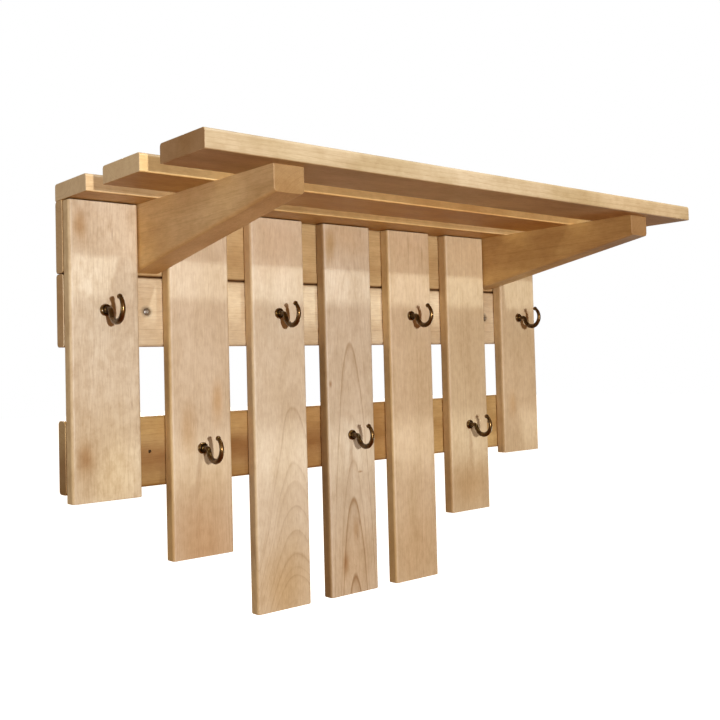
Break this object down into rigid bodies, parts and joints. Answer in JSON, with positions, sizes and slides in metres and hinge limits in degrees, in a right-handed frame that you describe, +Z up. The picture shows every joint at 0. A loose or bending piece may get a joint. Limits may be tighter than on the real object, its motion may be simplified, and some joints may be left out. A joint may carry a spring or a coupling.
{
  "type": "wall coat rack with shelf",
  "caption": "Wall-hung wooden coat rack: upright slats of graded length on level rails, each with a bronze hook, under a slatted shelf carried by tapered brackets.",
  "frame": {"origin": "middle of the four wall holes, on the plane of the wall behind the rails", "axes": "+X along the wall to the right as seen from the room, +Y into the wall, +Z up; the shelf stands out along -Y"},
  "size_m": [0.856, 0.36, 0.572],
  "materials": {
    "slat_wood": "pale planed hardwood, clear oil",
    "rail_wood": "warmer planed hardwood, clear oil",
    "shelf_wood": "pale planed hardwood, clear oil",
    "bracket_wood": "planed hardwood, clear oil",
    "bronze": "dark antique bronze, satin, bright on worn high spots",
    "screw_steel": "zinc-plated steel"
  },
  "bodies": {
    "root": {"slat_1": "slat_wood", "hook_1": "bronze", "hook_collar_1": "bronze", "slat_2": "slat_wood", "hook_2": "bronze", "hook_collar_2": "bronze", "slat_3": "slat_wood", "hook_3": "bronze", "hook_collar_3": "bronze", "slat_4": "slat_wood", "hook_4": "bronze", "hook_collar_4": "bronze", "slat_5": "slat_wood", "hook_5": "bronze", "hook_collar_5": "bronze", "slat_6": "slat_wood", "hook_6": "bronze", "hook_collar_6": "bronze", "slat_7": "slat_wood", "hook_7": "bronze", "hook_collar_7": "bronze", "upper_rail": "rail_wood", "screw_rail": "rail_wood", "lower_rail": "rail_wood", "shelf_board_rear": "shelf_wood", "shelf_board_middle": "shelf_wood", "shelf_board_front": "shelf_wood", "bracket_left": "bracket_wood", "bracket_right": "bracket_wood", "slat_screws": "screw_steel", "bracket_screws": "screw_steel", "shelf_screws": "screw_steel"}
  },
  "joints": []
}
